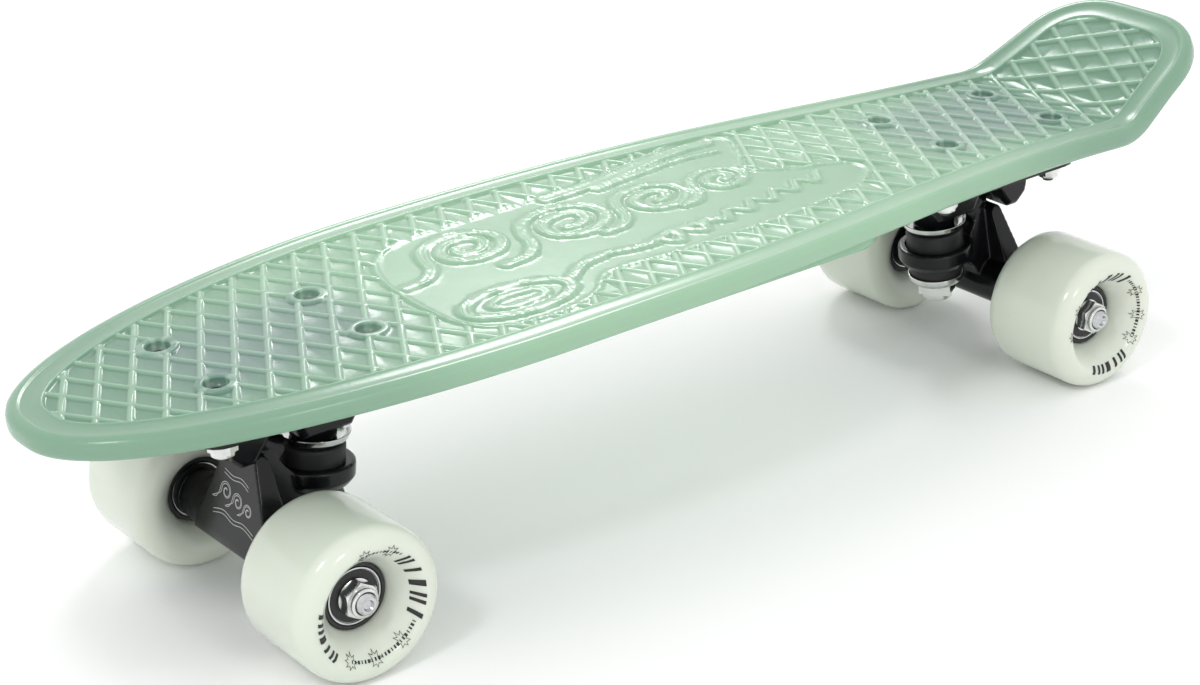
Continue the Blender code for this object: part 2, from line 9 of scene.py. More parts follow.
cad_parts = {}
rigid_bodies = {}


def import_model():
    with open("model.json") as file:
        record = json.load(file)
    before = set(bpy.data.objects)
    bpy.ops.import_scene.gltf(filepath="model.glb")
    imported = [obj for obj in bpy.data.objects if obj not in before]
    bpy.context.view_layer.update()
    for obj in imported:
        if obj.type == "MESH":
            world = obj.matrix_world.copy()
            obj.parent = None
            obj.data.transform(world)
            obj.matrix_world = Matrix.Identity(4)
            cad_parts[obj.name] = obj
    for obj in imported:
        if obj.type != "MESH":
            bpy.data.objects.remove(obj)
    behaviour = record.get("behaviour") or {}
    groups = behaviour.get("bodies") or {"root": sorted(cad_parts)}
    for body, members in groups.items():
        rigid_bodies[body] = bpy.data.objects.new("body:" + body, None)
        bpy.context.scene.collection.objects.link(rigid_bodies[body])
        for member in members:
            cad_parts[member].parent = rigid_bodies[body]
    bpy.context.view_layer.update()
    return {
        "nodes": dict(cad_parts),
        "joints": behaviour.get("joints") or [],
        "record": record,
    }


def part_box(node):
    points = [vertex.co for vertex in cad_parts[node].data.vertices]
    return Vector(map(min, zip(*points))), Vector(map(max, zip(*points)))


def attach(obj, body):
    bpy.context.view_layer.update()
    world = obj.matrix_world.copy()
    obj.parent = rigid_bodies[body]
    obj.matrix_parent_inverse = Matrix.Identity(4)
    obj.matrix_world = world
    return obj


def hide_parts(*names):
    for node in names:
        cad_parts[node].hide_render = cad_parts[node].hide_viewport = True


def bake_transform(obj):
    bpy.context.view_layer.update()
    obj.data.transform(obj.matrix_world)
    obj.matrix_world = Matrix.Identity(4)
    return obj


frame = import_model()
mm = 0.001


# Python sums on sockets: each sum adds the Math node that works it out.
class Wire:
    def __init__(self, tree, socket):
        self.tree = tree
        self.socket = socket

    def node(self, kind, settings, inputs, output=0):
        made = self.tree.nodes.new(kind)
        for key, value in settings.items():
            setattr(made, key, value)
        for key, value in inputs.items():
            if isinstance(value, Wire):
                self.tree.links.new(value.socket, made.inputs[key])
            else:
                made.inputs[key].default_value = value
        return Wire(self.tree, made.outputs[output])

    def math(self, operation, *values):
        return self.node("ShaderNodeMath", {"operation": operation}, dict(enumerate(values)))

    def __add__(self, other):
        return self.math("ADD", self, other)

    __radd__ = __add__

    def __sub__(self, other):
        return self.math("SUBTRACT", self, other)

    def __rsub__(self, other):
        return self.math("SUBTRACT", other, self)

    def __mul__(self, other):
        return self.math("MULTIPLY", self, other)

    __rmul__ = __mul__

    def size(self):
        return self.math("ABSOLUTE", self)

    def most(self, other):
        return self.math("MAXIMUM", self, other)

    def fade(self, start, end, low=0.0, high=1.0):
        return self.node("ShaderNodeMapRange", {"interpolation_type": "SMOOTHSTEP"},
                         {"Value": self, "From Min": start, "From Max": end,
                          "To Min": low, "To Max": high})

    def noise(self, scale, detail=3.0, roughness=0.5, stretch=None):
        place = self
        if stretch:
            place = self.node("ShaderNodeVectorMath", {"operation": "MULTIPLY"}, {0: self, 1: stretch})
        return self.node("ShaderNodeTexNoise", {},
                         {"Vector": place, "Scale": scale, "Detail": detail, "Roughness": roughness})

    def axes(self):
        split = self.node("ShaderNodeSeparateXYZ", {}, {"Vector": self})
        outputs = split.socket.node.outputs
        return [Wire(self.tree, outputs[i]) for i in range(3)]

    def blend(self, first, second):
        mixed = self.node("ShaderNodeMix", {"data_type": "RGBA"}, {}, 2)
        made = mixed.socket.node
        self.tree.links.new(self.socket, made.inputs[0])
        for socket, value in ((made.inputs[6], first), (made.inputs[7], second)):
            if isinstance(value, Wire):
                self.tree.links.new(value.socket, socket)
            else:
                socket.default_value = (*value, 1)
        return mixed

    def bump(self, strength, distance):
        return self.node("ShaderNodeBump", {}, {"Height": self, "Strength": strength,
                                                "Distance": distance})

    def feed(self, shader, name):
        self.tree.links.new(self.socket, shader.inputs[name])


def newFinish(name, constants):
    # a material, its shader and the object-space place on the piece
    material = bpy.data.materials.new(name)
    material.use_nodes = True
    tree = material.node_tree
    shader = tree.nodes["Principled BSDF"]
    for key, value in constants.items():
        shader.inputs[key].default_value = value
    coordinates = tree.nodes.new("ShaderNodeTexCoord")
    return material, shader, Wire(tree, coordinates.outputs["Object"])


finishes = {}


def addPiece(name, bm, finish, body, replaced=(), smooth=35):
    # a bmesh becomes a piece that rides on a body, or is left unattached
    if bm.faces:
        bmesh.ops.remove_doubles(bm, verts=bm.verts, dist=1e-6)
        bmesh.ops.recalc_face_normals(bm, faces=bm.faces)
    mesh = bpy.data.meshes.new(name)
    bm.to_mesh(mesh)
    bm.free()
    mesh.shade_smooth()
    if smooth:
        mesh.set_sharp_from_angle(angle=radians(smooth))
    mesh.materials.append(finishes[finish])
    piece = bpy.data.objects.new(name, mesh)
    bpy.context.scene.collection.objects.link(piece)
    if body:
        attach(piece, body)
    if replaced:
        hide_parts(*replaced)
    return piece


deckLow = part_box("deck")[0]
deckShape = {
    "noseTip": deckLow.x - 0.46 * mm,
    "length": 575.7 * mm,
    "halfWidth": 74.3 * mm,
    "noseLength": 186 * mm,
    "waist": (215 * mm, 500 * mm, 53.4 * mm),
    "tail": (540 * mm, 46.6 * mm),
    "middleHeight": 103.4 * mm,
    "level": (-15 * mm, 40 * mm),
    "arch": 0.138,
    "kick": (215.8 * mm, 30 * mm, radians(27.5)),
    "outlineStep": 3.5 * mm,
    "border": 14.5 * mm,
    "floor": 3.0 * mm,
    "ribRise": 1.05 * mm,
    "ribPitch": 12 * mm,
    "ribShift": (-171.5 * mm, -185.1 * mm),
    "ribCuts": (0, 0.8 * mm, 1.7 * mm),
    "ribProfile": ((0, 0.8 * mm, 1.7 * mm), (1.0, 0.8, 0.0)),
    "panelCut": 1.0 * mm,
    "undersideFloor": -0.8 * mm,
    "undersideBottom": -4.5 * mm,
    "undersidePitch": 24 * mm,
}
# From the ribbed field's edge outwards, over the rim and under it: inset and height, in mm.
rimProfile = ((13.5, 3.8), (13.2, 4.36), (12.5, 4.42), (12.0, 3.95), (8.5, 3.7), (5.6, 3.75),
              (4.9, 4.2), (4.2, 4.44), (3.0, 4.4), (1.6, 3.9), (0.4, 2.8), (0.0, 1.4),
              (0.0, -1.6), (0.3, -2.9), (1.1, -3.9), (2.4, -4.4), (4.0, -4.5), (9.0, -4.5),
              (10.2, -0.8))
ringProfile = ((7.6, 4.05), (7.1, 4.25), (5.4, 4.25), (4.85, 4.0), (4.6, 3.3), (4.6, -2.0))


def deckHalfWidth(s):
    width, noseLength = deckShape["halfWidth"], deckShape["noseLength"]
    waistStart, waistEnd, waistHalf = deckShape["waist"]
    tailStart, tailHalf = deckShape["tail"]
    if s < noseLength:
        width *= (1 - ((noseLength - s) / noseLength) ** 1.8) ** 0.45
    if s > waistStart:
        t = min(1.0, (s - waistStart) / (waistEnd - waistStart)) ** 1.15
        width -= (deckShape["halfWidth"] - waistHalf) * (1 - cos(pi * t)) / 2
    if s > waistEnd:
        width -= (waistHalf - tailHalf) * min(1.0, (s - waistEnd) / (tailStart - waistEnd))
    if s > tailStart:
        t = (s - tailStart) / (deckShape["length"] - tailStart)
        width *= (1 - t * t) ** 0.336
    return width


def archHeight(x):
    middle, half = deckShape["level"]
    beyond = max(0.0, abs(x - middle) - half)
    return deckShape["middleHeight"] - deckShape["arch"] * beyond * beyond


def bendDeck(verts):
    # lays the flat deck, x along its middle line and z above it, on the arch and the kick
    kickX, bendRadius, kickSlope = deckShape["kick"]
    step = 1 * mm
    startSlope = (archHeight(kickX) - archHeight(kickX - step)) / step
    bendLength = bendRadius * (kickSlope - startSlope)
    for vert in verts:
        x, y, height = vert.co
        if x <= kickX:
            slope = (archHeight(x + step) - archHeight(x)) / step
            place = (x, archHeight(x))
        else:
            bent = min(x - kickX, bendLength)
            slope = startSlope + bent / bendRadius
            straight = x - kickX - bent
            place = (kickX + bendRadius * (sin(slope) - sin(startSlope)) + straight * cos(slope),
                     archHeight(kickX) + bendRadius * (cos(startSlope) - cos(slope))
                     + straight * sin(slope))
        vert.co = (place[0] - height * sin(slope), y, place[1] + height * cos(slope))


def evenly(points, step, closed=False):
    # the same line with points at an even distance
    points = np.array(points)
    if closed:
        points = np.vstack([points, points[:1]])
    run = np.concatenate([[0], np.cumsum(np.linalg.norm(np.diff(points, axis=0), axis=1))])
    count = max(2, int(round(run[-1] / step)))
    along = np.linspace(0, run[-1], count + 1)
    even = np.stack([np.interp(along, run, points[:, k]) for k in range(2)], 1)
    return even[:-1] if closed else even


def smoothLine(points, closed=False, steps=8):
    # a curve through the points
    points = [np.array(p, float) for p in points]
    count = len(points)
    line = []
    for i in range(count if closed else count - 1):
        around = [points[(i + k) % count] if closed else points[min(max(i + k, 0), count - 1)]
                  for k in (-1, 0, 1, 2)]
        for step in range(steps):
            t = step / steps
            a, b, c, d = around
            line.append(0.5 * (2 * b + (c - a) * t + (2 * a - 5 * b + 4 * c - d) * t * t
                               + (3 * b - a - 3 * c + d) * t ** 3))
    if not closed:
        line.append(points[-1])
    return np.array(line)


def deckOutline():
    # closed outline, counter-clockwise, as (x, y) on the flat deck
    length, edge = deckShape["length"], 0.6 * mm
    along = [length / 2 * (1 - cos(pi * i / 1500)) for i in range(1501)]
    right = [(edge, 0.0)] + [(s, deckHalfWidth(s)) for s in along if edge <= s <= length - edge]
    tip = length - 0.9 * mm
    right = evenly([p for p in right if p[0] <= tip] + [(tip, 0.0)], deckShape["outlineStep"])
    outline = np.vstack([right[:-1], (right * (1, -1))[:0:-1]])[::-1]
    for _ in range(3):
        outline = (np.roll(outline, 1, 0) + 2 * outline + np.roll(outline, -1, 0)) / 4
    outline[:, 0] += deckShape["noseTip"]
    return outline


def insetOutline(outline, inset):
    # points on the outline, and the matching ones that far inside it
    ahead, behind = np.roll(outline, -1, 0), np.roll(outline, 1, 0)
    tangent = ahead - behind
    normal = np.stack([tangent[:, 1], -tangent[:, 0]], 1)
    normal /= np.linalg.norm(normal, axis=1)[:, None]
    inner = outline - normal * inset
    apart = np.linalg.norm(inner[:, None] - outline[None], axis=2).min(1)
    kept = apart > inset * 0.985
    return outline[kept], inner[kept]


def signedDistance(points, loop):
    # distance of points to a closed loop, less than 0 inside
    a, b = loop, np.roll(loop, -1, 0)
    run = b - a
    result = np.full(len(points), 1e9)
    inside = np.zeros(len(points), bool)
    x, y = points[:, 0], points[:, 1]
    for (ax, ay), (rx, ry) in zip(a, run):
        t = np.clip(((x - ax) * rx + (y - ay) * ry) / (rx * rx + ry * ry), 0, 1)
        result = np.minimum(result, np.hypot(x - ax - t * rx, y - ay - t * ry))
        crosses = (ay > y) != (ay + ry > y)
        inside ^= crosses & (x < ax + rx * (y - ay) / (ry if ry else 1e-12))
    return np.where(inside, -result, result)


def lineDistance(points, line):
    result = np.full(len(points), 1e9)
    x, y = points[:, 0], points[:, 1]
    for (ax, ay), (bx, by) in zip(line[:-1], line[1:]):
        rx, ry = bx - ax, by - ay
        t = np.clip(((x - ax) * rx + (y - ay) * ry) / (rx * rx + ry * ry + 1e-15), 0, 1)
        result = np.minimum(result, np.hypot(x - ax - t * rx, y - ay - t * ry))
    return result


def addLoop(bm, points):
    verts = [bm.verts.new((x, y, 0)) for x, y in points]
    return [bm.edges.new((a, b)) for a, b in zip(verts, verts[1:] + verts[:1])]


def cutAlong(bm, geometry, direction, places):
    # cuts the faces along parallel lines, at these places across them: the middle line
    # first, then each half by itself
    across = Vector((direction[1], -direction[0], 0))
    done = []
    waiting = [([g for g in geometry if isinstance(g, bmesh.types.BMFace)], sorted(places))]
    while waiting:
        faces, lines = waiting.pop()
        if not faces or not lines:
            done += faces
            continue
        half = len(lines) // 2
        cut = bmesh.ops.bisect_plane(bm, geom=partsOf(faces), plane_co=across * lines[half],
                                     plane_no=across, dist=2e-6)
        below, above = [], []
        for g in cut["geom"]:
            if isinstance(g, bmesh.types.BMFace):
                beyond = g.calc_center_median().dot(across) > lines[half]
                (above if beyond else below).append(g)
        waiting += [(below, lines[:half]), (above, lines[half + 1:])]
    return partsOf(done)


def ribDirections():
    return ((0.5, sqrt(0.75)), (0.5, -sqrt(0.75)))


def ribPlaces(family, pitch, cuts, low, high):
    shift = deckShape["ribShift"][family]
    first, last = int((low - shift) // pitch), int((high - shift) // pitch) + 1
    return [shift + k * pitch + side * cut for k in range(first, last + 1)
            for cut in cuts for side in ((1,) if cut == 0 else (-1, 1))]


def ribHeight(points, pitch, profile):
    # 1 on a rib's crest, 0 between the ribs
    rise = np.zeros(len(points))
    for family, (dx, dy) in enumerate(ribDirections()):
        sign = 1 if family == 0 else -1
        across = (points[:, 0] * dy - points[:, 1] * dx) * sign - deckShape["ribShift"][family]
        away = np.abs((across + pitch / 2) % pitch - pitch / 2)
        rise = np.maximum(rise, np.interp(away, *profile))
    return rise


def cutRibs(bm, geometry, pitch, cuts):
    reach = deckShape["length"] / 2
    for family, (dx, dy) in enumerate(ribDirections()):
        sign = 1 if family == 0 else -1
        places = [p * sign for p in ribPlaces(family, pitch, cuts, -reach, reach)]
        geometry = cutAlong(bm, geometry, (dx, dy), places)
    return geometry


print("camera, floor and lights")
view = {
    "place": (-0.6222, -0.7685, 0.4885),
    "target": (-0.0640, -0.0400, 0.0800),
    "roll": radians(-1.59),
    "lens": 79.61,
}
camera = bpy.data.objects.new("camera", bpy.data.cameras.new("camera"))
camera.data.lens = view["lens"]
camera.data.sensor_width = 36
facing = (Vector(view["place"]) - Vector(view["target"])).to_track_quat("Z", "Y").to_matrix()
facing = facing @ Matrix.Rotation(view["roll"], 3, "Z")
camera.matrix_world = Matrix.Translation(view["place"]) @ facing.to_4x4()
bpy.context.scene.collection.objects.link(camera)
bpy.context.scene.camera = camera

floor = bpy.data.objects.new("floor", bpy.data.meshes.new("floor"))
bm = bmesh.new()
bmesh.ops.create_grid(bm, x_segments=2, y_segments=2, size=4)
bm.to_mesh(floor.data)
bm.free()
bpy.context.scene.collection.objects.link(floor)
floorFinish, shader, place = newFinish("floor", {"Base Color": (0.95, 0.95, 0.95, 1), "Roughness": 0.8})
floor.data.materials.append(floorFinish)

world = bpy.data.worlds.new("studio")
world.use_nodes = True
world.node_tree.nodes["Background"].inputs["Color"].default_value = (1, 1, 1, 1)
world.node_tree.nodes["Background"].inputs["Strength"].default_value = 1.06
bpy.context.scene.world = world
bpy.context.scene.view_settings.view_transform = "Standard"

lights = {
    "key": ((-1.3, -0.5, 1.5), 0.3, 6),
    "back": ((0.9, 1.3, 1.2), 0.4, 7),
    "front": ((-0.2, -1.7, 0.9), 0.25, 3),
}
for name, (spot, width, power) in lights.items():
    lamp = bpy.data.objects.new(name + " light", bpy.data.lights.new(name, "AREA"))
    lamp.data.size = width
    lamp.data.energy = power
    lamp.matrix_world = Matrix.Translation(spot) @ Vector(spot).to_track_quat("Z", "Y").to_matrix().to_4x4()
    bpy.context.scene.collection.objects.link(lamp)

print("finishes")
mintLook = {"mint": (0.27, 0.44, 0.30), "deep": (0.145, 0.275, 0.19), "pale": (0.50, 0.66, 0.52),
            "shade": (0.15, 0.21, 0.22)}
material, shader, place = newFinish("mint plastic", {
    "Roughness": 0.28, "Subsurface Weight": 0.55, "Subsurface Radius": (0.5, 1.0, 0.7),
    "Subsurface Scale": 0.006, "Specular IOR Level": 0.45})
x, y = place.axes()[:2]
cloud = place.noise(9.0, 2.0) * 0.16 - 0.08
# painted light: the deck's middle is painted brighter and its ends darker, standing in for light bounced up
# from the floor
paintedBounceGlow = ((x + 0.005).size() + cloud).fade(0.07, 0.24)
colour = paintedBounceGlow.blend(mintLook["mint"], mintLook["deep"])
# painted shadow: the deck is darkened over each truck, where the trucks block the light
for truckX in (-0.186, 0.170):
    away = ((x - truckX).size() - 0.030).most(y.size() - 0.017).fade(0.026, -0.004)
    colour = (away * 0.55).blend(colour, mintLook["shade"])
# painted highlight: rib crests, rim crests and raised strokes are painted paler through the crest layer,
# standing in for the glints on them
crest = place.node("ShaderNodeAttribute", {"attribute_name": "crest"}, {}, 2)
colour = (crest * 0.30).blend(colour, mintLook["pale"])
colour.feed(shader, "Base Color")
(0.17 + place.noise(60.0, 4.0) * 0.10).feed(shader, "Roughness")
place.noise(420.0, 2.0).bump(0.08, 0.0004).feed(shader, "Normal")
finishes["mint"] = material


def grained(name, constants, gloss, tones=None, grain=None, stretch=None):
    # gloss: lowest roughness, spread, noise scale, detail; tones: noise scale, detail and two
    # colours; grain: noise scale, detail, bump strength, distance
    material, shader, place = newFinish(name, constants)
    if tones:
        scale, detail, dark, light = tones
        place.noise(scale, detail).fade(0.3, 0.7).blend(dark, light).feed(shader, "Base Color")
    low, spread, scale, detail = gloss
    (low + place.noise(scale, detail) * spread).feed(shader, "Roughness")
    if grain:
        scale, detail, strength, distance = grain
        place.noise(scale, detail, 0.5, stretch).bump(strength, distance).feed(shader, "Normal")
    return material


finishes["paint"] = grained(
    "black paint", {"Base Color": (0.005, 0.005, 0.0065, 1), "Specular IOR Level": 0.3},
    gloss=(0.16, 0.10, 90, 4), grain=(900, 3, 0.12, 0.0003))
finishes["urethane"] = grained(
    "black urethane", {"Specular IOR Level": 0.3}, gloss=(0.42, 0.18, 120, 3),
    tones=(40, 3, (0.012, 0.012, 0.013), (0.022, 0.022, 0.023)), grain=(700, 3, 0.1, 0.0003))
finishes["milky"] = grained(
    "milky urethane",
    {"Subsurface Weight": 0.5, "Subsurface Radius": (1, 1, 0.8), "Subsurface Scale": 0.006},
    gloss=(0.11, 0.10, 70, 4), tones=(12, 2, (0.62, 0.68, 0.59), (0.67, 0.70, 0.62)),
    grain=(500, 2, 0.06, 0.0004))
finishes["hub"] = grained(
    "hub plastic", {"Base Color": (0.014, 0.014, 0.015, 1)},
    gloss=(0.38, 0.15, 150, 3), grain=(900, 3, 0.1, 0.0003))
finishes["zinc"] = grained(
    "zinc plate", {"Metallic": 1.0}, gloss=(0.11, 0.10, 260, 4),
    tones=(160, 3, (0.60, 0.61, 0.60), (0.74, 0.75, 0.73)), grain=(1100, 2, 0.03, 0.0002))
finishes["steel"] = grained(
    "ground steel", {"Metallic": 1.0}, gloss=(0.15, 0.10, 300, 3),
    tones=(220, 3, (0.50, 0.51, 0.52), (0.64, 0.65, 0.66)), grain=(900, 2, 0.07, 0.0002),
    stretch=(1, 12, 1))
finishes["silver"] = grained(
    "silver print", {"Metallic": 0.6, "Base Color": (0.55, 0.55, 0.55, 1)}, gloss=(0.35, 0.2, 200, 3))
finishes["ink"] = grained(
    "black ink", {"Base Color": (0.012, 0.012, 0.012, 1)}, gloss=(0.40, 0.2, 300, 3))
finishes["darkSteel"] = grained(
    "dark bolt steel", {"Metallic": 1.0, "Base Color": (0.08, 0.085, 0.08, 1)},
    gloss=(0.30, 0.2, 300, 3))

print("deck")
truckPlaces = {}
for prefix in ("front_", "rear_"):
    low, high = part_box(prefix + "baseplate")
    truckPlaces[prefix] = (low.x + high.x) / 2
boltSpots = []
for node in frame["nodes"]:
    if "mounting_bolt" in node:
        low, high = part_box(node)
        boltSpots.append(((low.x + high.x) / 2, (low.y + high.y) / 2))

# The smooth panel in the middle, with a raised pattern of waves: points in mm.
panel = {
    "outline": ((-129, -20), (-127, 8), (-118, 30), (-98, 41), (-60, 42), (-17, 43), (20, 49), (52, 55),
                (72, 48), (66, 30), (54, 12), (70, 0), (90, -8), (93, -20), (74, -33), (30, -39),
                (-20, -40), (-56, -38), (-72, -50), (-92, -56), (-116, -53), (-127, -40)),
    "level": 3.05 * mm,
    "edge": 0.9 * mm,
}
# Each stroke: its points, whether it closes, its width, and its rise in mm.
strokes = []


def addStroke(points, width, rise=1.3, closed=False):
    strokes.append((smoothLine(points, closed) * mm, width * mm, rise * mm))


def curl(x, y, size, turns=1.6, lean=0.0, width=3.4):
    # one wave of a running scroll: a long low back that climbs and rolls into a spiral
    back = [(x - 2.35 * size, y - 1.0 * size), (x - 1.75 * size, y - 0.92 * size),
            (x - 1.32 * size, y - 0.5 * size), (x - 1.12 * size, y + 0.1 * size)]
    count = int(turns * 8)
    spiral = []
    for i in range(count + 1):
        angle = radians(140) - tau * turns * i / count
        reach = size * (0.95 - 0.72 * i / count)
        spiral.append((x + reach * cos(angle) * 1.15 + lean * sin(angle) * size, y + reach * sin(angle)))
    addStroke(back + spiral, width)


curl(-84, 17, 17, 1.9, 0.1, 4.0)
curl(-38, 12, 19, 1.7, 0.12, 4.2)
curl(4, 10, 16, 1.6, 0.12, 3.8)
curl(38, 9, 13, 1.5, 0.15, 3.4)
addStroke([(-98 + 23 * cos(a), -36 + 12 * sin(a)) for a in np.linspace(0, tau, 13)[:-1]], 4.0, 1.3, True)
addStroke([(-98 + 12 * cos(a), -36 + 5 * sin(a)) for a in np.linspace(0, tau, 13)[:-1]], 2.8, 1.1, True)
addStroke([(-72, -34), (-60, -26), (-46, -24), (-30, -27), (-12, -22), (10, -25)], 3.6)
addStroke([(-30, 38), (-5, 39), (20, 43), (44, 47), (62, 47)], 6.0, 1.35)
addStroke([(-8, 33), (14, 36), (38, 38), (58, 36)], 2.6, 1.1)
ripple = np.arange(-26, 86, 1.75)
addStroke(list(zip(ripple, -30 + 0.17 * (ripple + 26) + 3.6 * np.sin(ripple * tau / 14)))[:58], 2.6, 1.2)


def panelHeight(points, inside):
    height = np.full(len(points), panel["level"])
    for line, width, rise in strokes:
        reach = width / 2 + 1.6 * mm
        low, high = line.min(0) - reach, line.max(0) + reach
        near = np.all((points > low) & (points < high), axis=1)
        away = lineDistance(points[near], line)
        body = np.clip((width / 2 + 0.9 * mm - away) / (1.8 * mm), 0, 1)
        body = 0.62 * body * body * (3 - 2 * body)
        rail = np.exp(-((away - width / 2 + 0.3 * mm) / (0.9 * mm)) ** 2)
        height[near] = np.maximum(height[near], panel["level"] + rise * np.maximum(body, rail))
    edge = panel["edge"] * np.exp(-((inside + 0.4 * mm) / (0.8 * mm)) ** 2)
    return np.minimum(height + edge, 4.42 * mm)


def growRing(bm, edges, guide, place):
    # extrudes a loop of edges once; place turns a vertex's guide into where it goes
    old = {v for e in edges for v in e.verts}
    made = bmesh.ops.extrude_edge_only(bm, edges=edges)["geom"]
    fresh = [g for g in made if isinstance(g, bmesh.types.BMVert)]
    for vert in fresh:
        source = next(e.other_vert(vert) for e in vert.link_edges if e.other_vert(vert) in old)
        guide[vert] = guide[source]
        vert.co = place(guide[vert])
    fresh = set(fresh)
    return [g for g in made if isinstance(g, bmesh.types.BMEdge)
            and g.verts[0] in fresh and g.verts[1] in fresh]


def flat(verts):
    return np.array([v.co[:2] for v in verts])


def partsOf(faces):
    verts = list({v for f in faces for v in f.verts})
    edges = list({e for f in faces for e in f.edges})
    return verts + edges + list(faces)


def roundedLoop(x, y, halfX, halfY, radius, steps=10):
    points = []
    for quarter, (sx, sy) in enumerate(((1, 1), (-1, 1), (-1, -1), (1, -1))):
        for i in range(steps + 1):
            angle = (quarter + i / steps) * pi / 2
            point = (x + sx * (halfX - radius) + radius * cos(angle),
                     y + sy * (halfY - radius) + radius * sin(angle))
            if not points or min(abs(point[0] - p[0]) + abs(point[1] - p[1]) for p in points) > 1e-5:
                points.append(point)
    return points


def fillLoops(bm, edges):
    made = bmesh.ops.triangle_fill(bm, edges=edges, use_beauty=True, use_dissolve=False,
                                   normal=(0, 0, 1))["geom"]
    return [g for g in made if isinstance(g, bmesh.types.BMFace)]


def edgesNear(bm, test):
    return [e for e in bm.edges if e.is_boundary and test((e.verts[0].co + e.verts[1].co) / 2)]


